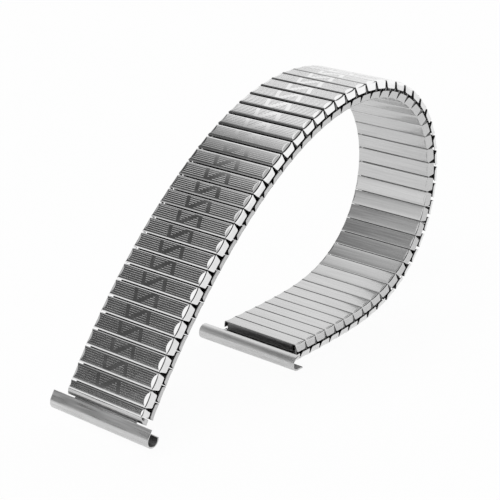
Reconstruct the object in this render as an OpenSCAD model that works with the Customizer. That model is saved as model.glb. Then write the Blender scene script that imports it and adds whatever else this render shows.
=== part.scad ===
// Expansion watch band: two staggered rows of folded sleeves, joined by U-shaped spring-loaded bows.
// The outer row carries crowned covers, and the inner row lies smooth on the wrist.
// The band is off the wrist and rests on the outer face of its lower strand, curled over in a C.
// X runs along the curl, Y across the band and Z up.
// The origin is the spring bar's axis in the lower end channel, in the middle of the band's width.

/* [Band] */
// Width across the covers at their top corners
band_w = 14.7; // [12:0.1:18]
// Distance from one link to the next, measured on the inner face
pitch = 2.65; // [2.5:0.01:3]
// Inner links in each of the nine runs
links_per_run = 6; // [4:1:7]
// How far each side leans out, from its corners to the line between the rows
side_flare = 0.36; // [0.2:0.01:0.5]
// Distance from the line between the rows to the corners of either row
row_h = 1.35; // [1.35:0.01:1.6]
// Gap between the outer and the inner row
row_gap = 0.06; // [0.04:0.01:0.1]
// Clearance between sheets and strips that lie against each other
play = 0.02; // [0.02:0.005:0.03]

/* [Covers] */
// Gap between neighbouring covers when the band is straight
cover_gap = 0.13; // [0.08:0.01:0.25]
// Thickness of the cover sheet
cover_sheet = 0.2; // [0.15:0.01:0.22]
// Rise of a cover's crown above its corners
cover_crown = 0.3; // [0.15:0.01:0.4]
// Length of the lens-shaped bevel at each end of a cover
cover_bevel = 0.6; // [0.4:0.05:0.8]
// How much each side of an end flap draws in towards the line between the rows
flap_taper = 0.2; // [0.1:0.01:0.25]
// Radius of the free corners of an end flap
flap_corner = 0.25; // [0.15:0.01:0.35]
// Width of the ear that clips each end flap into the sleeve
ear_w = 0.5; // [0.3:0.05:0.6]

/* [Inner links] */
// Gap between neighbouring inner links on the inner face
inner_gap = 0.08; // [0.06:0.01:0.15]
// Rise of the inner face between its long edges
inner_crown = 0.08; // [0.05:0.01:0.12]
// Length of the bevel at each end of an inner face
inner_bevel = 0.3; // [0.2:0.05:0.5]

/* [Sleeves] */
// Thickness of the sleeve sheet
sleeve_wall = 0.13; // [0.1:0.01:0.15]
// Width of an outer sleeve along the band
outer_sleeve_w = 2.3; // [2.2:0.01:2.35]
// Width of an inner sleeve along the band
inner_sleeve_w = 2.4; // [2.3:0.01:2.4]
// Width of the seam left open in each folded sleeve
seam_w = 0.08; // [0.05:0.01:0.12]
// Room between a bow's web and the sleeve and flap on either side of it
bow_room = 0.1; // [0.08:0.01:0.15]

/* [Bows and leaf springs] */
// Width of the bow strip along the band
bow_w = 0.4; // [0.35:0.01:0.45]
// Thickness of a bow's flat legs
leg_t = 0.14; // [0.12:0.01:0.16]
// Thickness of a bow's upright web
web_t = 0.2; // [0.15:0.01:0.22]
// Length of a bow's legs, from the outside of its web
leg_l = 3.35; // [3:0.05:4]
// Room between each leg and the sleeve wall that it rests on
leg_room = 0.12; // [0.1:0.01:0.15]
// Further room under the legs in the inner sleeves, which takes up the swing of the bows
swing_room = 0.15; // [0.12:0.01:0.18]
// Thickness of a leaf spring
leaf_t = 0.07; // [0.05:0.01:0.08]
// Width of a leaf spring along the band
leaf_w = 1.5; // [1.3:0.05:1.6]
// How far a leaf spring reaches over the tips of the legs
leaf_lap = 0.6; // [0.4:0.05:0.8]
// Rise of a leaf spring's ends above its middle
leaf_rise = 0.19; // [0.12:0.01:0.2]

/* [End channels] */
// Length of an end channel across the band, between the watch's lugs
channel_l = 19.6; // [17.6:0.1:21.6]
// Inner radius of the spring bar's seat
seat_r = 1; // [0.8:0.01:1.1]
// Thickness of the channel sheet
channel_sheet = 0.25; // [0.2:0.01:0.28]
// Angle that the sheet rolls through round the seat
roll_angle = 215; // [200:5:230]
// Gap between an end sleeve and the plate beside it
plate_gap = 0.2; // [0.05:0.01:0.3]
// Length of the flat plate, from its near edge to the seat's axis
plate_l = 1.35; // [1.3:0.05:2]
// Height of the plate above the corners of the covers
plate_step = 0.05; // [0:0.01:0.1]
// Width of the tongue that hooks into the end sleeve
tongue_w = 12.4; // [11:0.1:12.8]
// How far the tongue reaches into the end sleeve
tongue_reach = 0.45; // [0.35:0.01:0.5]
// Height of the hook bent up at the end of the tongue
hook_h = 0.45; // [0.35:0.01:0.5]
// Height of the tongue's middle above the end sleeve's floor
slot_lift = 0.25; // [0.2:0.01:0.3]
// Length of an end sleeve, from the last inner link's middle
end_sleeve_l = 2.2; // [2:0.01:2.4]
// Radius of the end sleeve's polished outer edge
shoulder_r = 0.45; // [0.3:0.01:0.5]

/* [Resting shape] */
// Direction of the first link at the upper end, above the horizontal
first_heading = 55.8; // [45:0.1:65]
// Bend from one link to the next, at the start of each run and at the end of the last
run_bends = [1.4, 1.5, 1.7, 3.3, 5.2, 9.2, 8.5, 8.3, 1.1, 0]; // [0:0.1:10]

/* [Hidden] */
runs = len(run_bends) - 1;
links = runs * links_per_run;
crown_facets = 8;
leaf_facets = 8;
seat_facets = 96;

half_w = band_w / 2;
cover_w = pitch - cover_gap;
inner_w = pitch - inner_gap;
quarter = pitch / 4;
row_edge = row_gap / 2;
floor_z = row_edge + sleeve_wall;
outer_top = row_h - cover_sheet - play;
inner_top = row_h - play;

web_out = half_w - cover_sheet - bow_room;
sleeve_half = web_out - web_t - bow_room;
leg_tip = web_out - leg_l;
outer_leg_z = outer_top - sleeve_wall - leg_room - leg_t / 2;
inner_leg_z = inner_top - sleeve_wall - leg_room - leg_t / 2 - swing_room;
leaf_half = leg_tip + leaf_lap;
leaf_z = floor_z + play;

// End channels, measured from the middle of the last inner link
slot_z = floor_z + slot_lift;
roll_r = seat_r + channel_sheet;
plate_start = end_sleeve_l + plate_gap;
seat_x = plate_start + plate_l;
seat_z = row_h + plate_step - roll_r;

// Resting curve: the heading of each inner link and where its inner face starts
function along(h) = [cos(h), sin(h)];
function outward(h) = [-sin(h), cos(h)];
function bend(k) =
    let (u = k / links_per_run, i = min(floor(u), runs - 1))
    run_bends[i] + (u - i) * (run_bends[i + 1] - run_bends[i]);
headings = [for (k = 0, h = first_heading; k < links; h = h - bend(k), k = k + 1) h];
face_starts = [for (k = 0, p = [0, 0]; k < links; p = p + pitch * along(headings[k]), k = k + 1) p];

// A frame is [x, z, heading], at the middle of a link on the line between the rows
function point_in(f, x, z) = [f[0], f[1]] + x * along(f[2]) + z * outward(f[2]);
function curve_frame(k) =
    let (h = headings[k], p = point_in([face_starts[k][0], face_starts[k][1], h], pitch / 2, row_h))
    [p[0], p[1], h];
seat_point = point_in(curve_frame(links - 1), seat_x, seat_z);
function inner_frame(k) =
    let (f = curve_frame(k))
    [f[0] - seat_point[0], f[1] - seat_point[1], f[2]];
function outer_frame(j) =
    let (
        a = inner_frame(j), b = inner_frame(j + 1), h = (a[2] + b[2]) / 2,
        lift = pitch / 2 * sin((a[2] - b[2]) / 2),
        p = point_in([(a[0] + b[0]) / 2, (a[1] + b[1]) / 2, h], 0, lift)
    )
    [p[0], p[1], h];

// A bow stands where outer link j overlaps inner link k, with a leg in each
function bow_frame(j, k) =
    let (
        side = k > j ? 1 : -1,
        leg = point_in(outer_frame(j), side * quarter, outer_leg_z),
        foot = point_in(inner_frame(k), -side * quarter, -inner_leg_z)
    )
    [leg[0], leg[1], atan2(leg[1] - foot[1], leg[0] - foot[0]) - 90];

// Links of each run. The first inner link of every run but the first is a pivot sleeve of its own.
function run_outer(r) = [for (j = [(r - 1) * links_per_run : min(r * links_per_run, links - 1) - 1]) j];
function run_inner(r) = [for (k = [(r - 1) * links_per_run + (r > 1 ? 1 : 0) : r * links_per_run - 1]) k];
function pivot_link(r) = r * links_per_run;

families = ["top_covers", "sleeves", "bows", "leaf_springs"];

module place(f) {
    translate([f[0], 0, f[1]]) rotate([0, -f[2], 0]) children();
}
module both_sides() {
    children();
    mirror([0, 1, 0]) children();
}

// Straight prisms: an outline seen from the side of the band, and one seen along it
module across(points, l) {
    rotate([90, 0, 0]) linear_extrude(l, center = true) polygon(points);
}
module lengthwise(points, l) {
    rotate([90, 0, 90]) linear_extrude(l, center = true) polygon(points);
}
module box(low, high) {
    translate(low) cube(high - low);
}

function mirrored(points) = [for (i = [len(points) - 1 : -1 : 0]) [-points[i][0], points[i][1]]];
function side_y(z) = half_w + side_flare * (1 - z / row_h);
function crown(xa, xb, z, rise) =
    [for (i = [0 : crown_facets])
        let (u = 2 * i / crown_facets - 1)
        [(xa + xb) / 2 + (xb - xa) / 2 * u, z + rise * (1 - u * u)]];

// Crowned sheet with an end flap folded down at each side of the band
module flapped_sheet(xa, xb, rise, bevel, sheet) {
    slant = rise / bevel;
    drop = sheet * sqrt(1 + slant * slant);
    foot_x = (xb - xa) / 2 - flap_taper - flap_corner;
    foot = [for (a = [0 : -30 : -90])
        [foot_x + flap_corner * cos(a), row_edge + flap_corner * (1 + sin(a))]];
    middle = [(xa + xb) / 2, 0];
    outline = concat(
        crown(xa, xb, row_h, rise),
        [for (p = foot) middle + p],
        [for (p = mirrored(foot)) middle + p]
    );
    hollow = concat(
        [[xa - 1, row_h - sheet]],
        crown(xa, xb, row_h - sheet, rise),
        [[xb + 1, row_h - sheet], [xb + 1, -1], [xa - 1, -1]]
    );
    outer_side = [[side_y(0), 0], [half_w, row_h], [half_w - bevel, row_h + rise]];
    inner_side = [
        [side_y(-1) - sheet, -1],
        [half_w - sheet, row_h + sheet * slant - drop],
        [half_w - bevel, row_h + rise - drop],
        [half_w - bevel, row_h + rise]
    ];
    difference() {
        intersection() {
            across(outline, 4 * half_w);
            lengthwise(concat(outer_side, mirrored(outer_side)), 4 * pitch);
        }
        intersection() {
            across(hollow, 4 * half_w);
            lengthwise(concat(inner_side, mirrored(inner_side)), 4 * pitch);
        }
    }
}

// Cover with its two ears, which are bent into the ends of the sleeve under it, clear of the bows
module cover(xa, xb, rise, bevel, ear_from, ear_to) {
    flapped_sheet(xa, xb, rise, bevel, cover_sheet);
    ear_z = floor_z + play;
    ear_in = sleeve_half - cover_sheet;
    ear_out = side_y(ear_z) - cover_sheet / 2;
    both_sides() box([ear_from, ear_in, ear_z], [ear_to, ear_out, ear_z + cover_sheet]);
}

// Sheet folded into a tube, its long edges chamfered by the sheet's own thickness
module folded_tube(xa, xb, zb) {
    r = sleeve_wall;
    outline = [
        [xa + r, row_edge], [xb - r, row_edge], [xb, row_edge + r], [xb, zb - r],
        [xb - r, zb], [xa + r, zb], [xa, zb - r], [xa, row_edge + r]
    ];
    across(outline, 2 * sleeve_half);
}
module tube_hollow(xa, xb, zb) {
    box([xa + sleeve_wall, -web_out, floor_z], [xb - sleeve_wall, web_out, zb - sleeve_wall]);
}
module seam(x, za, zb) {
    box([x - seam_w / 2, -web_out, za], [x + seam_w / 2, web_out, zb]);
}

// The seam of an outer sleeve is hidden under its cover
module outer_sleeve() {
    half = outer_sleeve_w / 2;
    difference() {
        folded_tube(-half, half, outer_top);
        tube_hollow(-half, half, outer_top);
        seam(0, outer_top - 2 * sleeve_wall, outer_top + 1);
    }
}

// An inner link is one sheet: the tube, its smooth inner face and the end flaps
module inner_link() {
    half = inner_sleeve_w / 2;
    mirror([0, 0, 1]) difference() {
        union() {
            flapped_sheet(-inner_w / 2, inner_w / 2, inner_crown, inner_bevel, sleeve_wall + play);
            folded_tube(-half, half, inner_top);
        }
        tube_hollow(-half, half, inner_top);
        seam(0, -1, floor_z + play);
    }
}

// Leaf spring: its middle stands on the sleeve's wall between the rows, its ends bear on the legs
module leaf_spring(w) {
    under = [for (i = [0 : leaf_facets])
        let (u = 2 * i / leaf_facets - 1)
        [u * leaf_half, leaf_z + leaf_rise * u * u]];
    over = [for (i = [leaf_facets : -1 : 0]) under[i] + [0, leaf_t]];
    lengthwise(concat(under, over), w);
}

// Bow seen along the band: a web outside the sleeves, with one leg into each sleeve
module bow(h) {
    bent = web_t / 2;
    top = leg_t / 2;
    bottom = -h - leg_t / 2;
    outline = [
        [leg_tip, top], [web_out - bent, top], [web_out, top - bent],
        [web_out, bottom + bent], [web_out - bent, bottom], [leg_tip, bottom],
        [leg_tip, bottom + leg_t], [web_out - web_t, bottom + leg_t],
        [web_out - web_t, top - leg_t], [leg_tip, top - leg_t]
    ];
    both_sides() lengthwise(outline, bow_w);
}
module bows_at(j, k) {
    side = k > j ? 1 : -1;
    leg = point_in(outer_frame(j), side * quarter, outer_leg_z);
    foot = point_in(inner_frame(k), -side * quarter, -inner_leg_z);
    place(bow_frame(j, k)) bow(norm(leg - foot));
}

// The pieces of an end, drawn beyond the middle of the last inner link
module end_cover() {
    ear_from = quarter + bow_w / 2 + 2 * play;
    ear_to = pitch / 2 - flap_taper - play;
    cover(cover_gap / 2, pitch / 2, cover_crown / 2, cover_bevel / 2, ear_from, ear_to);
}
module shoulder() {
    r = shoulder_r;
    arc = [for (a = [90 : -22.5 : 0]) [end_sleeve_l - r + r * cos(a), row_h - r + r * sin(a)]];
    start = pitch / 2 + play;
    sides = [[side_y(0), 0], [half_w, row_h], [half_w, row_h + 1]];
    intersection() {
        across(concat([[start, row_edge], [start, row_h]], arc, [[end_sleeve_l, row_edge]]), 4 * half_w);
        lengthwise(concat(sides, mirrored(sides)), 4 * pitch);
    }
}
module end_sleeve_shell() {
    xa = (pitch - outer_sleeve_w) / 2;
    slot = [tongue_w / 2 + play, channel_sheet / 2 + play];
    difference() {
        union() {
            folded_tube(xa, end_sleeve_l - shoulder_r, outer_top);
            shoulder();
        }
        tube_hollow(xa, end_sleeve_l, outer_top);
        box([end_sleeve_l - 1, -slot[0], slot_z - slot[1]], [end_sleeve_l + 1, slot[0], slot_z + slot[1]]);
    }
}
module channel() {
    drop_x = plate_start + channel_sheet;
    hook_x = end_sleeve_l - tongue_reach;
    low = slot_z - channel_sheet / 2;
    tongue = [
        [hook_x, low], [drop_x, low], [drop_x, row_h + plate_step - channel_sheet],
        [plate_start, row_h + plate_step - channel_sheet], [plate_start, low + channel_sheet],
        [hook_x + channel_sheet / 2, low + channel_sheet], [hook_x + channel_sheet / 2, low + hook_h],
        [hook_x, low + hook_h]
    ];
    across(tongue, tongue_w);
    box([plate_start, -channel_l / 2, seat_z + seat_r], [seat_x, channel_l / 2, seat_z + roll_r]);
    translate([seat_x, 0, seat_z]) rotate([90, 0, 0]) rotate(90 - roll_angle)
        rotate_extrude(angle = roll_angle, $fn = seat_facets)
            translate([seat_r, -channel_l / 2]) square([channel_sheet, channel_l]);
}
module end_leaf() {
    translate([(pitch / 2 + cover_gap / 2) / 2, 0, 0]) leaf_spring(leaf_w / 2);
}
module at_upper_end() {
    place(inner_frame(0)) mirror([1, 0, 0]) children();
}
module at_lower_end() {
    place(inner_frame(links - 1)) children();
}
module end_bows() {
    translate([quarter, 0, outer_leg_z]) bow(outer_leg_z + inner_leg_z);
}

// The sub-parts
module top_covers(r) {
    color("silver") for (j = run_outer(r)) place(outer_frame(j))
        cover(-cover_w / 2, cover_w / 2, cover_crown, cover_bevel, -ear_w / 2, ear_w / 2);
}
module sleeves(r) {
    color("lightgray") {
        for (j = run_outer(r)) place(outer_frame(j)) outer_sleeve();
        for (k = run_inner(r)) place(inner_frame(k)) inner_link();
    }
}
module leaf_springs(r) {
    color("gainsboro") {
        for (j = run_outer(r)) place(outer_frame(j)) leaf_spring(leaf_w);
        for (k = run_inner(r)) place(inner_frame(k)) mirror([0, 0, 1]) leaf_spring(leaf_w);
        if (r == 1) at_upper_end() end_leaf();
        if (r == runs) at_lower_end() end_leaf();
    }
}
module bows(r) {
    color("darkgray") {
        for (j = run_outer(r), k = [j, j + 1])
            if (r == 1 || k != pivot_link(r - 1)) bows_at(j, k);
        if (r == 1) at_upper_end() end_bows();
        if (r == runs) at_lower_end() end_bows();
    }
}
module pivot_sleeve(r) {
    color("lightgray") place(inner_frame(pivot_link(r))) {
        inner_link();
        mirror([0, 0, 1]) leaf_spring(leaf_w);
    }
}
module swing_bows(r) {
    color("darkgray") bows_at(pivot_link(r), pivot_link(r));
}
module half_cover() {
    color("silver") end_cover();
}
module end_sleeve() {
    color("lightgray") end_sleeve_shell();
}
module end_channel() {
    color("gray") channel();
}

for (r = [1 : runs]) {
    top_covers(r);
    sleeves(r);
    bows(r);
    leaf_springs(r);
}
for (r = [1 : runs - 1]) {
    pivot_sleeve(r);
    swing_bows(r);
}
at_upper_end() half_cover();  // upper_half_cover
at_upper_end() end_sleeve();  // upper_end_sleeve
at_upper_end() end_channel();  // upper_end_channel
at_lower_end() half_cover();  // lower_half_cover
at_lower_end() end_sleeve();  // lower_end_sleeve
at_lower_end() end_channel();  // lower_end_channel
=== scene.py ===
import math

import bmesh
import bpy
from mathutils import Matrix, Vector


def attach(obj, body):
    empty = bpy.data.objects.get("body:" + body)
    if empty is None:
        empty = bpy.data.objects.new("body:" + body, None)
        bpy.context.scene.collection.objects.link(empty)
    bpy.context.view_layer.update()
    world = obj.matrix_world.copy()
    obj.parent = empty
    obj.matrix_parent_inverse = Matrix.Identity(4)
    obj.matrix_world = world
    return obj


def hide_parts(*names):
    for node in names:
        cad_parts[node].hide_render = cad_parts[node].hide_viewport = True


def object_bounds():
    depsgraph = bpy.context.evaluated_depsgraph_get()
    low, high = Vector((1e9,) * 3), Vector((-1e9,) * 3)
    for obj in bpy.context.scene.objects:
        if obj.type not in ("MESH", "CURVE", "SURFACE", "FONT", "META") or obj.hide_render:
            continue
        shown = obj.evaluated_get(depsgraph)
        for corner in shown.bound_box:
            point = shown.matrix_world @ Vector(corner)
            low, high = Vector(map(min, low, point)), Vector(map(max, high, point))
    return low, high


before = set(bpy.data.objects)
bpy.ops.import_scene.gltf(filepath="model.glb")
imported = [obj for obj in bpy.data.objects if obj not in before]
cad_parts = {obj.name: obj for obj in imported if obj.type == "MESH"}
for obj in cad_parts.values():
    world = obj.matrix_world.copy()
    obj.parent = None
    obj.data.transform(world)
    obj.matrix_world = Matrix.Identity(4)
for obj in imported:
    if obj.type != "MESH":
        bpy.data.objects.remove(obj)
cadLow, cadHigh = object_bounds()
mm = 0.001
print("frame loaded:", len(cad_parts), "nodes")

# the resting curl, as the frame holds it: lengths in mm, angles in degrees
curl = {
    "pitch": 2.65,
    "rowHeight": 1.35,
    "linksPerRun": 6,
    "firstHeading": 55.8,
    "runBends": [1.4, 1.5, 1.7, 3.3, 5.2, 9.2, 8.5, 8.3, 1.1, 0],  # at the start of each run, and at the end
    "seatAhead": 3.75,  # from the last link's middle to the bar seat's axis, which is the origin
    "seatUp": 0.15,
}
runs = len(curl["runBends"]) - 1
links = runs * curl["linksPerRun"]


def pointIn(place, x, z):  # a place is (x, z, heading); x runs along the link and z outward
    turn = math.radians(place[2])
    return (
        place[0] + x * math.cos(turn) - z * math.sin(turn),
        place[1] + x * math.sin(turn) + z * math.cos(turn),
    )


def bendAfter(link):
    steps = link / curl["linksPerRun"]
    run = min(int(steps), runs - 1)
    first, last = curl["runBends"][run], curl["runBends"][run + 1]
    return first + (steps - run) * (last - first)


def innerPlaces():
    places, spot, heading = [], (0.0, 0.0), curl["firstHeading"]
    for link in range(links):
        here = (spot[0], spot[1], heading)
        places.append((*pointIn(here, curl["pitch"] / 2, curl["rowHeight"]), heading))
        spot = pointIn(here, curl["pitch"], 0)
        heading -= bendAfter(link)
    seat = pointIn(places[-1], curl["seatAhead"], curl["seatUp"])
    return [(x - seat[0], z - seat[1], turn) for x, z, turn in places]


def outerPlace(before, after):
    heading = (before[2] + after[2]) / 2
    lift = curl["pitch"] / 2 * math.sin(math.radians(before[2] - after[2]) / 2)
    middle = ((before[0] + after[0]) / 2, (before[1] + after[1]) / 2, heading)
    return (*pointIn(middle, 0, lift), heading)


innerRow = innerPlaces()
outerRow = [outerPlace(a, b) for a, b in zip(innerRow, innerRow[1:])]


# helpers that several pieces share
crease = {"plain": 38, "folded": 24, "bevelled": 40}  # degrees past which an edge stays crisp or is bevelled
weld = {"points": 0.003, "edges": 0.002}  # mm: points this close are one, and shorter edges are dropped


def addObject(name, mesh):
    piece = bpy.data.objects.new(name, mesh)
    bpy.context.scene.collection.objects.link(piece)
    return piece


def bakedMesh(piece, name):  # the mesh with its modifiers, as a plain one
    bpy.context.view_layer.update()
    graph = bpy.context.evaluated_depsgraph_get()
    mesh = bpy.data.meshes.new_from_object(piece.evaluated_get(graph), depsgraph=graph)
    mesh.name = name
    return mesh


def smoothBelow(mesh, degrees):  # soft shading, with edges past this angle kept crisp
    mesh.shade_smooth()
    work = bmesh.new()
    work.from_mesh(mesh)
    for edge in work.edges:
        edge.smooth = len(edge.link_faces) == 2 and edge.calc_face_angle(0) < math.radians(degrees)
    work.to_mesh(mesh)
    work.free()


def skinOf(name, sections, thickness):  # faces between neighbouring sections, thickened inwards
    work = bmesh.new()
    rows = [[work.verts.new(Vector(point) * mm) for point in section] for section in sections]
    for row, following in zip(rows, rows[1:]):
        for i in range(len(row) - 1):
            work.faces.new((row[i], row[i + 1], following[i + 1], following[i]))
    bmesh.ops.remove_doubles(work, verts=work.verts, dist=weld["points"] * mm)
    bmesh.ops.dissolve_degenerate(work, edges=work.edges, dist=weld["edges"] * mm)
    bmesh.ops.recalc_face_normals(work, faces=work.faces)
    highest = max(work.faces, key=lambda face: face.calc_center_median().z)
    if highest.normal.z < 0:
        bmesh.ops.reverse_faces(work, faces=work.faces)
    mesh = bpy.data.meshes.new(name)
    work.to_mesh(mesh)
    work.free()
    piece = addObject(name, mesh)
    wall = piece.modifiers.new("wall", "SOLIDIFY")
    wall.thickness = thickness * mm
    wall.offset = -1
    return piece


def markPaintedShade(piece, faces=None):  # marks the faces that get the dark painted-shade steel: all of them, if none are given
    mark = piece.data.attributes.new("isShadedWall", "BOOLEAN", "FACE")
    mark.data.foreach_set("value", faces or [True] * len(piece.data.polygons))
    return piece


def foldedSheet(name, sheet):  # polished outside; inside and along the free edges of its flaps it gets the dark painted-shade steel
    skin = skinOf(name, sheetSections(sheet), sheet["wall"])
    piece = addObject(name, bakedMesh(skin, name))
    bpy.data.objects.remove(skin)
    turned = -0.3  # a face lies inside where its normal leans this far back
    inside = [
        face.normal.z < turned or face.normal.y * face.center.y < turned * abs(face.center.y)
        for face in piece.data.polygons
    ]
    return markPaintedShade(piece, inside)


def prismOf(name, outline, low, high):  # an outline of (x, z) in the link's frame, drawn out across the band
    work = bmesh.new()
    near = [work.verts.new(Vector((x, low, z)) * mm) for x, z in outline]
    far = [work.verts.new(Vector((x, high, z)) * mm) for x, z in outline]
    for i in range(len(outline)):
        j = (i + 1) % len(outline)
        work.faces.new((near[i], near[j], far[j], far[i]))
    work.faces.new(near)
    work.faces.new(far)
    bmesh.ops.recalc_face_normals(work, faces=work.faces)
    mesh = bpy.data.meshes.new(name)
    work.to_mesh(mesh)
    work.free()
    return addObject(name, mesh)


def bevelled(piece, width):  # a narrow flat along every sharp edge
    edges = piece.modifiers.new("edges", "BEVEL")
    edges.width = width * mm
    edges.segments = 1
    edges.limit_method = "ANGLE"
    edges.angle_limit = math.radians(crease["bevelled"])
    return piece


def joined(name, pieces, sharp=crease["plain"]):
    work = bmesh.new()
    for piece in pieces:
        mesh = bakedMesh(piece, name)
        work.from_mesh(mesh)
        bpy.data.meshes.remove(mesh)
        bpy.data.objects.remove(piece)
    mesh = bpy.data.meshes.new(name)
    work.to_mesh(mesh)
    work.free()
    smoothBelow(mesh, sharp)
    return addObject(name, mesh)


def arc(middleX, middleZ, radius, start, end, steps):
    angles = [math.radians(start + (end - start) * i / steps) for i in range(steps + 1)]
    return [(middleX + radius * math.cos(a), middleZ + radius * math.sin(a)) for a in angles]


# finishes: noise drawn out along the band's width stands for the grain of rolled and brushed sheet
def steel(name, settings):
    finish = bpy.data.materials.new(name)
    finish.use_nodes = True
    tree = finish.node_tree
    shader = tree.nodes["Principled BSDF"]
    shader.inputs["Metallic"].default_value = 1.0
    lowest, highest = 0.3, 0.7  # the noise seldom leaves this range
    place = tree.nodes.new("ShaderNodeTexCoord")
    mapping = tree.nodes.new("ShaderNodeMapping")
    mapping.inputs["Scale"].default_value = (settings["across"], settings["along"], settings["across"])
    noise = tree.nodes.new("ShaderNodeTexNoise")
    noise.inputs["Scale"].default_value = 1.0
    noise.inputs["Detail"].default_value = 4.0
    tree.links.new(place.outputs["Object"], mapping.inputs["Vector"])
    tree.links.new(mapping.outputs["Vector"], noise.inputs["Vector"])
    tone = tree.nodes.new("ShaderNodeMapRange")
    tone.inputs["From Min"].default_value, tone.inputs["From Max"].default_value = lowest, highest
    tone.inputs["To Min"].default_value, tone.inputs["To Max"].default_value = settings["roughness"]
    tree.links.new(noise.outputs["Fac"], tone.inputs["Value"])
    tree.links.new(tone.outputs["Result"], shader.inputs["Roughness"])
    colour = tree.nodes.new("ShaderNodeValToRGB")
    shades = (settings["shade"] * settings["streak"], settings["shade"])
    for stop, position, grey in zip(colour.color_ramp.elements, (lowest, highest), shades):
        stop.position = position
        stop.color = (grey, grey, grey, 1)
    tree.links.new(noise.outputs["Fac"], colour.inputs["Fac"])
    tree.links.new(colour.outputs["Color"], shader.inputs["Base Color"])
    bump = tree.nodes.new("ShaderNodeBump")
    bump.inputs["Strength"].default_value = settings["bump"]
    bump.inputs["Distance"].default_value = 0.01 * mm  # depth of the grain
    tree.links.new(noise.outputs["Fac"], bump.inputs["Height"])
    tree.links.new(bump.outputs["Normal"], shader.inputs["Normal"])
    return finish


engravedSteel = steel("engravedSteel", {
    "shade": 0.96, "streak": 0.94, "roughness": (0.07, 0.15), "across": 900, "along": 300, "bump": 0.1,
})
smoothSteel = steel("smoothSteel", {
    "shade": 0.72, "streak": 0.84, "roughness": (0.16, 0.26), "across": 5000, "along": 120, "bump": 0.4,
})
satinSteel = steel("satinSteel", {
    "shade": 0.8, "streak": 0.8, "roughness": (0.24, 0.38), "across": 3500, "along": 160, "bump": 0.5,
})
# painted shade: a dark steel for tube walls, flap insides and the roll's hollow, standing in for the shade in
# the gaps
paintedShadeSteel = steel("paintedShadeSteel", {
    "shade": 0.35, "streak": 0.85, "roughness": (0.3, 0.45), "across": 4000, "along": 200, "bump": 0.3,
})
# painted shade: the bows are made dark so that the gaps where they show read as shade
paintedShadeBowSteel = steel("paintedShadeBowSteel", {
    "shade": 0.3, "streak": 0.85, "roughness": (0.3, 0.45), "across": 3000, "along": 3000, "bump": 0.3,
})
# painted shade: the leaf springs are made dark like the bows, as the shade inside the links
paintedShadeLeafSteel = steel("paintedShadeLeafSteel", {
    "shade": 0.3, "streak": 0.85, "roughness": (0.3, 0.4), "across": 3000, "along": 200, "bump": 0.2,
})
print("finishes ready")

# the engraved cover of an outer link, in mm: u runs across the band from its far end to its near one,
# as a share of the length, and t along the band from one long edge to the other, as -1 to 1
cover = {
    "middle": 0,
    "width": 2.52,
    "length": 14.7,
    "lift": 0.12,  # height of the land over the corners
    "crown": 0.05,
    "bevel": 0.55,  # reach of the curved slope at each end
    "wall": 0.08,
    "flare": 0.36,  # how far the feet of the flaps stand out
    "foot": 0.2,  # height of the feet over the line between the rows
    "taper": 0.2,  # how much narrower a flap is at its foot, on each side
    "footCorner": 0.25,
    "rim": 0.19,  # from a long edge to the land
    "edge": 0.16,  # the steep part of the rim
    "edgeShare": 0.9,  # share of the land's height that the steep part climbs
    "fold": 0.22,  # reach of the rounding between a flap and the end slope
    "foldShare": 0.4,  # and its limit, as a share of the end slope
    "lines": 6,
    "lineMargin": 0.27,
    "lineWidth": 0.088,
    "lineDepth": 0.04,
    "lineEnds": (0.1, 0.12),  # from the end slope to where a line starts and is deep
    "strokes": [(0.36, 0.30, 0.045), (0.36, 0.58, 0.08), (0.64, 0.58, 0.05)],  # u low, u high, width
    "strokeEase": 0.001,  # how steeply a line ends at a stroke
    "plainRows": (-0.45, 0, 0.45),  # t of the rows where there are no lines
    "ear": (-0.25, 0.25),
}
halfCover = dict(cover, middle=0.695, width=1.26, crown=0.02, bevel=0.3, lines=3, strokes=[], ear=(0.91, 1.1))
innerFace = dict(
    cover, width=2.55, lift=0.1, crown=0.02, bevel=0.3, foot=0.19, rim=0.16, edge=0.1, lines=0, strokes=[],
)
ears = {"low": 0.18, "thickness": 0.2, "inner": 6.45, "outer": 7.55}


def flapHalf(z, sheet):  # how far along the band a flap still reaches at this height
    half, corner = sheet["width"] / 2, sheet["footCorner"]
    lean = sheet["foot"] + corner
    if z >= lean:
        return half - sheet["taper"] * (curl["rowHeight"] - z) / (curl["rowHeight"] - lean)
    sink = (lean - z) / corner
    return half - sheet["taper"] - corner * (1 - math.sqrt(max(0, 1 - sink * sink)))


def flapPoints(t, sheet):  # one flap's points from its foot up to the fold
    lean, top = sheet["foot"] + sheet["footCorner"], curl["rowHeight"] - sheet["fold"]
    heights = [lean - sheet["footCorner"] * math.cos(math.radians(a)) for a in (0, 30, 60, 90)]
    heights += [lean + (top - lean) * 0.5, top]
    points = []
    for z in heights:
        y = sheet["length"] / 2 + sheet["flare"] * (1 - z / curl["rowHeight"])
        points.append((t * flapHalf(z, sheet), y, z))
    return points


def landRise(t, sheet):  # the land over the corners: nearly flat, with two facets down to each long edge
    inwards = (1 - abs(t)) * sheet["width"] / 2
    share = sheet["edgeShare"] * min(inwards / sheet["edge"], 1)
    share += (1 - sheet["edgeShare"]) * max(0, inwards - sheet["edge"]) / (sheet["rim"] - sheet["edge"])
    return (sheet["lift"] + sheet["crown"] * (1 - t * t)) * min(share, 1)


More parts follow.
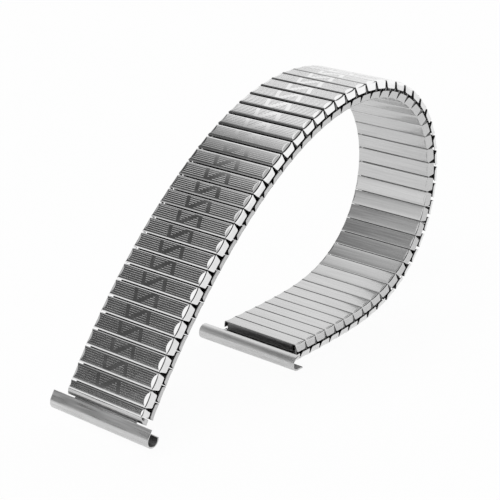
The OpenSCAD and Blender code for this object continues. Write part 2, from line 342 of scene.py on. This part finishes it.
def foldPoints(t, sheet):  # rounds the corner between a flap and the bevel above it
    lens, rise = sheet["bevel"] * (1 - t * t), landRise(t, sheet)
    slant = math.hypot(lens, rise)
    reach = min(sheet["fold"], sheet["foldShare"] * slant)
    corner = (sheet["length"] / 2, curl["rowHeight"])
    low = (corner[0] + sheet["flare"] * sheet["fold"] / curl["rowHeight"], corner[1] - sheet["fold"])
    high = corner
    if slant > 0:
        high = (corner[0] - lens / slant * reach, corner[1] + rise / slant * reach)
    points = []
    for s in (0.25, 0.5, 0.75, 1):
        y = (1 - s) ** 2 * low[0] + 2 * s * (1 - s) * corner[0] + s * s * high[0]
        z = (1 - s) ** 2 * low[1] + 2 * s * (1 - s) * corner[1] + s * s * high[1]
        points.append((t * sheet["width"] / 2, y, z))
    return points


def lineRows(sheet):  # (t, engraved or not) for each row, from one long edge to the other
    half = sheet["width"] / 2
    reach, side = half - sheet["lineMargin"], sheet["lineWidth"] / 2
    inside, outside = (half - sheet["rim"]) / half, (half - sheet["edge"]) / half
    rows = [(-1, False), (-outside, False), (-inside, False)]
    for line in range(sheet["lines"]):
        middle = reach * ((2 * line + 1) / sheet["lines"] - 1)
        rows += [((middle - side) / half, False), (middle / half, True), ((middle + side) / half, False)]
    if not sheet["lines"]:
        rows += [(t, False) for t in sheet["plainRows"]]
    return rows + [(inside, False), (outside, False), (1, False)]


def strokeColumns(t, sheet):  # (u, inside a line or not) for the columns of the row at t
    edges = []
    for low, high, width in sheet["strokes"]:
        middle = low + (high - low) * (1 + t) / 2
        edges += [middle - width / 2, middle + width / 2]
    for i in range(2, len(edges), 2):  # where two strokes meet, both end at the line between them
        if edges[i] < edges[i - 1]:
            edges[i] = edges[i - 1] = (edges[i] + edges[i - 1]) / 2
    columns = []
    for i in range(0, len(edges), 2):
        columns += [(edges[i] - sheet["strokeEase"], True), (edges[i], False)]
        columns += [(edges[i + 1], False), (edges[i + 1] + sheet["strokeEase"], True)]
    for i in range(1, len(columns)):
        if columns[i][0] < columns[i - 1][0]:
            columns[i] = (columns[i - 1][0], columns[i][1] and columns[i - 1][1])
    return columns


def sheetSections(sheet):  # one line of points across the band for each row
    half, halfLength = sheet["width"] / 2, sheet["length"] / 2
    sections = []
    for t, engraved in lineRows(sheet):
        lens = sheet["bevel"] * (1 - t * t)
        land = curl["rowHeight"] + landRise(t, sheet)
        sunk = land - (sheet["lineDepth"] if engraved else 0)
        side = flapPoints(t, sheet) + foldPoints(t, sheet)
        for inwards, z in zip((0, *sheet["lineEnds"]), (land, land, sunk)):
            side.append((t * half, halfLength - lens - inwards, z))
        columns = strokeColumns(t, sheet)
        top = [(t * half, halfLength - u * sheet["length"], sunk if cut else land) for u, cut in columns]
        section = side + top + [(x, -y, z) for x, y, z in reversed(side)]
        sections.append([(x + sheet["middle"], y, z) for x, y, z in section])
    return sections


def earPair(left, right):  # the tabs that rest in the ends of the sleeve below
    low, high = ears["low"], ears["low"] + ears["thickness"]
    outline = [(left, low), (right, low), (right, high), (left, high)]
    return [
        prismOf("coverEar", outline, ears["inner"], ears["outer"]),
        prismOf("coverEar", outline, -ears["outer"], -ears["inner"]),
    ]


def coverShape(name, sheet):
    return joined(name, [foldedSheet(name, sheet), *earPair(*sheet["ear"])], crease["folded"])


coverLink = coverShape("coverLink", cover)
endCoverLink = coverShape("endCoverLink", halfCover)
print("cover drawn:", len(coverLink.data.polygons), "faces")

# the folded tubes of both rows, and the inner link with its smooth face
tube = {
    "outerHalf": 1.15,
    "innerHalf": 1.2,
    "low": 0.03,
    "outerTop": 1.13,
    "innerTop": 1.33,
    "wall": 0.13,
    "seam": 0.08,
    "bendSteps": 2,
    "halfLength": 6.65,
}


def tubeOutline(half, top, seamUp):  # a C: round the outside, then back round the inside
    low, wall, slit, steps = tube["low"], tube["wall"], tube["seam"] / 2, tube["bendSteps"]
    right, left, floor, roof = half - wall, -half + wall, low + wall, top - wall
    outside = arc(right, roof, wall, 90, 0, steps) + arc(right, floor, wall, 0, -90, steps)
    outside += arc(left, floor, wall, -90, -180, steps) + arc(left, roof, wall, 180, 90, steps)
    inside = [(left, roof), (left, floor), (right, floor), (right, roof)]
    outline = [(slit, top)] + outside + [(-slit, top), (-slit, roof)] + inside + [(slit, roof)]
    if seamUp:
        return outline
    return [(x, low + top - z) for x, z in outline]


# the whole tube is marked for the dark painted-shade steel
def tubePrism(name, half, top, seamUp):
    outline = tubeOutline(half, top, seamUp)
    return markPaintedShade(prismOf(name, outline, -tube["halfLength"], tube["halfLength"]))


outerTube = joined("outerTube", [tubePrism("outerTube", tube["outerHalf"], tube["outerTop"], True)])
innerLink = joined("innerLink", [
    foldedSheet("innerLink", innerFace),
    tubePrism("innerLink", tube["innerHalf"], tube["innerTop"], False),
], crease["folded"])
# drawn facing outwards, then turned over to face the wrist
innerLink.data.transform(Matrix.Scale(-1, 4, (0, 0, 1)))
innerLink.data.flip_normals()
print("inner link drawn:", len(innerLink.data.polygons), "faces")

# the pivot links carry their own arched leaf spring
leaf = {"halfLength": 4.3, "low": 0.18, "rise": 0.18, "thickness": 0.07, "width": 1.5, "steps": 8}


def leafShape():
    ends = [2 * i / leaf["steps"] - 1 for i in range(leaf["steps"] + 1)]
    under = [(u * leaf["halfLength"], -leaf["low"] - leaf["rise"] * u * u) for u in ends]
    over = [(x, z - leaf["thickness"]) for x, z in reversed(under)]
    shape = prismOf("leafShape", under + over, -leaf["width"] / 2, leaf["width"] / 2)
    shape.data.transform(Matrix.Rotation(math.pi / 2, 4, "Z"))
    return markPaintedShade(shape)


pivotLink = joined("pivotLink", [addObject("pivotSheet", innerLink.data.copy()), leafShape()])


# one Geometry Nodes tree lays links along the band: points carry the place, the turn and the row
def linkTree():
    tree = bpy.data.node_groups.new("linksAlongBand", "GeometryNodeTree")
    sockets = {"Geometry": "Geometry", "Outer Link": "Object", "Inner Link": "Object", "Link Size": "Float",
               "Finish": "Material", "Shaded Wall Finish": "Material"}
    for label, kind in sockets.items():
        tree.interface.new_socket(label, in_out="INPUT", socket_type=f"NodeSocket{kind}")
    tree.interface.new_socket("Geometry", in_out="OUTPUT", socket_type="NodeSocketGeometry")
    nodes, wires = tree.nodes, tree.links
    start, end = nodes.new("NodeGroupInput"), nodes.new("NodeGroupOutput")

    def attribute(label, kind):
        reader = nodes.new("GeometryNodeInputNamedAttribute")
        reader.data_type = kind
        reader.inputs["Name"].default_value = label
        return reader.outputs["Attribute"]

    inner = attribute("isInner", "BOOLEAN")
    outer = nodes.new("FunctionNodeBooleanMath")
    outer.operation = "NOT"
    wires.new(inner, outer.inputs[0])
    rotation = nodes.new("ShaderNodeCombineXYZ")
    wires.new(attribute("turn", "FLOAT"), rotation.inputs["Y"])
    both = nodes.new("GeometryNodeJoinGeometry")
    for label, chosen in (("Outer Link", outer.outputs["Boolean"]), ("Inner Link", inner)):
        shape = nodes.new("GeometryNodeObjectInfo")
        wires.new(start.outputs[label], shape.inputs["Object"])
        laid = nodes.new("GeometryNodeInstanceOnPoints")
        wires.new(start.outputs["Geometry"], laid.inputs["Points"])
        wires.new(chosen, laid.inputs["Selection"])
        wires.new(shape.outputs["Geometry"], laid.inputs["Instance"])
        wires.new(rotation.outputs["Vector"], laid.inputs["Rotation"])
        wires.new(start.outputs["Link Size"], laid.inputs["Scale"])
        wires.new(laid.outputs["Instances"], both.inputs["Geometry"])
    real = nodes.new("GeometryNodeRealizeInstances")
    wires.new(both.outputs["Geometry"], real.inputs["Geometry"])
    painted = nodes.new("GeometryNodeSetMaterial")
    wires.new(real.outputs["Geometry"], painted.inputs["Geometry"])
    wires.new(start.outputs["Finish"], painted.inputs["Material"])
    # the marked walls get the dark painted-shade steel
    wallsShaded = nodes.new("GeometryNodeSetMaterial")
    wires.new(painted.outputs["Geometry"], wallsShaded.inputs["Geometry"])
    wires.new(attribute("isShadedWall", "BOOLEAN"), wallsShaded.inputs["Selection"])
    wires.new(start.outputs["Shaded Wall Finish"], wallsShaded.inputs["Material"])
    wires.new(wallsShaded.outputs["Geometry"], end.inputs["Geometry"])
    return tree


bandTree = linkTree()
socketOf = {item.name: item.identifier for item in bandTree.interface.items_tree if item.in_out == "INPUT"}


def layLinks(name, outers, inners, shapes, finish):  # shapes: an outer and an inner link, or None
    points = bpy.data.meshes.new(name)
    places = outers + inners
    points.from_pydata([Vector((x, 0, z)) * mm for x, z, _ in places], [], [])
    turn = points.attributes.new("turn", "FLOAT", "POINT")
    turn.data.foreach_set("value", [-math.radians(heading) for _, _, heading in places])
    row = points.attributes.new("isInner", "BOOLEAN", "POINT")
    row.data.foreach_set("value", [i >= len(outers) for i in range(len(places))])
    host = addObject(name + "Points", points)
    laid = host.modifiers.new("laid", "NODES")
    laid.node_group = bandTree
    laid[socketOf["Outer Link"]] = shapes[0]
    laid[socketOf["Inner Link"]] = shapes[1]
    laid[socketOf["Link Size"]] = 1.0
    laid[socketOf["Finish"]] = finish
    # painted shade on the marked walls
    laid[socketOf["Shaded Wall Finish"]] = paintedShadeSteel
    mesh = bakedMesh(host, name)
    bpy.data.objects.remove(host)
    for spare in ("turn", "isInner", "isShadedWall"):
        if spare in mesh.attributes:
            mesh.attributes.remove(mesh.attributes[spare])
    return addObject(name, mesh)


def dress(piece, body, node):
    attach(piece, body)
    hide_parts(node)


def paintSolid(node, finish):  # for the solids that show as they are
    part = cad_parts[node]
    part.data.materials.clear()
    part.data.materials.append(finish)


for run in range(1, runs + 1):
    first, last = (run - 1) * curl["linksPerRun"], run * curl["linksPerRun"]
    body = f"run_{run}"
    outers = outerRow[first:last]
    inners = innerRow[first + (run > 1):last]  # from the second run on, the first one is a pivot link
    covers = layLinks(f"engravedCovers_{run}", outers, [], (coverLink, None), engravedSteel)
    dress(covers, body, f"top_covers_{run}")
    tubes = layLinks(f"sleeveLinks_{run}", outers, inners, (outerTube, innerLink), smoothSteel)
    dress(tubes, body, f"sleeves_{run}")
    paintSolid(f"bows_{run}", paintedShadeBowSteel)
    paintSolid(f"leaf_springs_{run}", paintedShadeLeafSteel)
print("rows laid:", len(outerRow), "outer and", len(innerRow), "inner links")

for pivot in range(1, runs):
    place = innerRow[pivot * curl["linksPerRun"]]
    link = layLinks(f"pivotLink_{pivot}", [], [place], (None, pivotLink), smoothSteel)
    dress(link, f"pivot_{pivot}", f"pivot_sleeve_{pivot}")
    paintSolid(f"swing_bows_{pivot}", paintedShadeBowSteel)
print("pivot links laid:", runs - 1)


# the ends: half cover, polished end sleeve and rolled channel, drawn beyond the last inner link's middle
channel = {
    "sheet": 0.25,
    "seat": 1.0,
    "rollAngle": 215,
    "rollSteps": 48,
    "plateStart": 2.4,
    "length": 19.6,
    "edge": 0.05,
    "tongueWidth": 12.4,
    "tongueZ": 0.41,
    "hookX": 1.75,
    "hookTop": 0.735,
}
endStrip = {"start": 1.345, "end": 2.2, "tilts": (12, 62), "steps": 14, "edge": 0.05}
endTube = {"start": 0.175, "end": 1.75, "low": 0.03, "high": 1.13}


def channelShape():  # a plate that ends in a roll for the spring bar, with a bent tongue below it
    ahead, up, sheet, steps = curl["seatAhead"], curl["seatUp"], channel["sheet"], channel["rollSteps"]
    inner, outer = channel["seat"], channel["seat"] + sheet
    back, front = channel["plateStart"], channel["plateStart"] + sheet
    outline = [(back, up + outer)]
    outline += arc(ahead, up, outer, 90, 90 - channel["rollAngle"], steps)
    outline += arc(ahead, up, inner, 90 - channel["rollAngle"], 90, steps)
    outline.append((back, up + inner))
    body = prismOf("channelShape", outline, -channel["length"] / 2, channel["length"] / 2)
    # the inside of the roll gets the dark painted-shade steel
    insideOfRoll = range(steps + 2, 2 * steps + 3)
    markPaintedShade(body, [i in insideOfRoll for i in range(len(body.data.polygons))])
    low, hook = channel["tongueZ"] - sheet / 2, channel["hookX"]
    tongue = [
        (hook, low), (front, low), (front, up + inner), (back, up + inner), (back, low + sheet),
        (hook + sheet / 2, low + sheet), (hook + sheet / 2, channel["hookTop"]), (hook, channel["hookTop"]),
    ]
    bent = prismOf("channelTongue", tongue, -channel["tongueWidth"] / 2, channel["tongueWidth"] / 2)
    return joined("channelShape", [bevelled(body, channel["edge"]), bevelled(bent, channel["edge"])])


def stripShape():  # the polished strip beside the half cover, its sides flared like the tiles beside it
    (least, most), steps = endStrip["tilts"], endStrip["steps"]
    tilts = [math.radians(least + (most - least) * i / steps) for i in range(steps + 1)]
    radius = (endStrip["end"] - endStrip["start"]) / (math.sin(tilts[-1]) - math.sin(tilts[0]))
    outline = [(endStrip["start"], endTube["low"])]
    for tilt in tilts:
        x = endStrip["start"] + radius * (math.sin(tilt) - math.sin(tilts[0]))
        outline.append((x, curl["rowHeight"] - radius * (math.cos(tilts[0]) - math.cos(tilt))))
    outline.append((endStrip["end"], endTube["low"]))
    strip = prismOf("stripShape", outline, -1, 1)  # the sides go to their places next
    for vertex in strip.data.vertices:
        side = cover["length"] / 2 + cover["flare"] * (1 - vertex.co.z / mm / curl["rowHeight"])
        vertex.co.y = math.copysign(side * mm, vertex.co.y)
    start, end, low, high = endTube["start"], endTube["end"], endTube["low"], endTube["high"]
    box = [(start, low), (end, low), (end, high), (start, high)]
    sleeve = prismOf("stripTube", box, -tube["halfLength"], tube["halfLength"])
    return joined("stripShape", [bevelled(strip, endStrip["edge"]), sleeve])


stripEnd = stripShape()
channelEnd = channelShape()


def placeEnd(shape, name, place, upper, finish):  # drawn for the lower end, mirrored for the upper one
    mesh = shape.data.copy()
    mesh.name = name
    if upper:
        mesh.transform(Matrix.Scale(-1, 4, (1, 0, 0)))
        mesh.flip_normals()
    mesh.transform(Matrix.Rotation(-math.radians(place[2]), 4, "Y"))
    mesh.transform(Matrix.Translation(Vector((place[0], 0, place[1])) * mm))
    mesh.materials.clear()
    mesh.materials.append(finish)
    # the marked faces get the dark painted-shade steel
    if "isShadedWall" in mesh.attributes:
        mesh.materials.append(paintedShadeSteel)
        walls = [int(mark.value) for mark in mesh.attributes["isShadedWall"].data]
        mesh.polygons.foreach_set("material_index", walls)
        mesh.attributes.remove(mesh.attributes["isShadedWall"])
    return addObject(name, mesh)


for side, place, body in (("upper", innerRow[0], "run_1"), ("lower", innerRow[-1], f"run_{runs}")):
    upper = side == "upper"
    endCover = placeEnd(endCoverLink, f"{side}EngravedEnd", place, upper, engravedSteel)
    dress(endCover, body, f"{side}_half_cover")
    rolled = placeEnd(channelEnd, f"{side}RolledChannel", place, upper, satinSteel)
    dress(rolled, body, f"{side}_end_channel")
    strip = placeEnd(stripEnd, f"{side}PolishedStrip", place, upper, smoothSteel)
    dress(strip, body, f"{side}_end_sleeve")
for spare in (coverLink, endCoverLink, outerTube, innerLink, pivotLink, channelEnd, stripEnd):
    bpy.data.objects.remove(spare)
print("ends placed")

# studio: a pale floor, a bright surround with soft dark cards, and the camera of the photograph
studio = {
    "floorReach": 3.0,  # m
    "floorGap": 0.02,  # mm below the band
    # own light and reflectance of the floor, as the metal sees it and as the camera does
    "floorGlow": (0.46, 0.93),
    "floorShade": (0.6, 0.1),
    # direction towards a card, how dark it is, and the cosines where it ends and where it is full
    "cards": [
        ((-0.21, 0.92, 0.331), 0.93, 0.68, 0.86),
        ((-0.21, 0.92, 0.331), -7, 0.915, 0.985),  # a lighter middle to the card above
        ((0.11, 0.982, 0.15), 0.08, 0.6, 0.7),
        ((-0.28, -0.90, 0.34), 0.9, 0.86, 0.93),
        ((0.09, -0.80, 0.59), 0.9, 0.86, 0.93),
        ((0.45, -0.65, 0.61), 0.9, 0.86, 0.93),
        ((-0.05, -0.05, 1), 0.55, 0.88, 0.97),
    ],
}
view = {
    "azimuth": -51.03,
    "elevation": 22.013,
    "distance": 230.83,
    "target": (0.085, 0, 16.82),
    "lens": 105.476,
    "sensor": 36,
    "clip": (0.01, 20),
}


def paintFloor():
    finish = bpy.data.materials.new("paleFloor")
    finish.use_nodes = True
    tree = finish.node_tree
    tree.nodes.remove(tree.nodes["Principled BSDF"])
    rays = tree.nodes.new("ShaderNodeLightPath")
    glow = tree.nodes.new("ShaderNodeEmission")
    matt = tree.nodes.new("ShaderNodeBsdfDiffuse")
    for key, socket in (("floorGlow", glow.inputs["Strength"]), ("floorShade", matt.inputs["Color"])):
        level = tree.nodes.new("ShaderNodeMapRange")
        level.inputs["To Min"].default_value, level.inputs["To Max"].default_value = studio[key]
        tree.links.new(rays.outputs["Is Camera Ray"], level.inputs["Value"])
        tree.links.new(level.outputs["Result"], socket)
    both = tree.nodes.new("ShaderNodeAddShader")
    tree.links.new(glow.outputs[0], both.inputs[0])
    tree.links.new(matt.outputs[0], both.inputs[1])
    tree.links.new(both.outputs[0], tree.nodes["Material Output"].inputs["Surface"])
    return finish


def paintSurround():
    world = bpy.data.worlds.new("studioSurround")
    world.use_nodes = True
    bpy.context.scene.world = world
    tree = world.node_tree
    ground = tree.nodes["Background"]
    place = tree.nodes.new("ShaderNodeTexCoord")
    shades = []
    for direction, dark, edge, full in studio["cards"]:
        facing = tree.nodes.new("ShaderNodeVectorMath")
        facing.operation = "DOT_PRODUCT"
        facing.inputs[1].default_value = Vector(direction).normalized()
        tree.links.new(place.outputs["Generated"], facing.inputs[0])
        card = tree.nodes.new("ShaderNodeMapRange")
        card.interpolation_type = "SMOOTHSTEP"
        card.inputs["From Min"].default_value = edge
        card.inputs["From Max"].default_value = full
        card.inputs["To Min"].default_value = 1.0
        card.inputs["To Max"].default_value = 1.0 - dark
        tree.links.new(facing.outputs["Value"], card.inputs["Value"])
        shades.append(card.outputs["Result"])
    level = shades[0]
    for shade in shades[1:]:
        both = tree.nodes.new("ShaderNodeMath")
        both.operation = "MULTIPLY"
        tree.links.new(level, both.inputs[0])
        tree.links.new(shade, both.inputs[1])
        level = both.outputs["Value"]
    rays = tree.nodes.new("ShaderNodeLightPath")
    seen = tree.nodes.new("ShaderNodeMath")  # the camera sees it plain white
    seen.operation = "MAXIMUM"
    tree.links.new(rays.outputs["Is Camera Ray"], seen.inputs[0])
    tree.links.new(level, seen.inputs[1])
    tree.links.new(seen.outputs["Value"], ground.inputs["Color"])


floorMesh = bpy.data.meshes.new("studioFloor")
reach, low = studio["floorReach"], cadLow.z - studio["floorGap"] * mm
corners = [(-reach, -reach, low), (reach, -reach, low), (reach, reach, low), (-reach, reach, low)]
floorMesh.from_pydata(corners, [], [(0, 1, 2, 3)])
floorMesh.materials.append(paintFloor())
addObject("studioFloor", floorMesh)
paintSurround()

cameraData = bpy.data.cameras.new("photoCamera")
cameraData.lens = view["lens"]
cameraData.sensor_width = view["sensor"]
cameraData.clip_start, cameraData.clip_end = view["clip"]
camera = addObject("photoCamera", cameraData)
turn, rise = math.radians(view["azimuth"]), math.radians(view["elevation"])
back = Vector((math.sin(turn) * math.cos(rise), -math.cos(turn) * math.cos(rise), math.sin(rise)))
camera.location = (Vector(view["target"]) + back * view["distance"]) * mm
camera.rotation_euler = (-back).to_track_quat("-Z", "Y").to_euler()
bpy.context.scene.camera = camera
bpy.context.scene.view_settings.view_transform = "Standard"
print("studio ready")
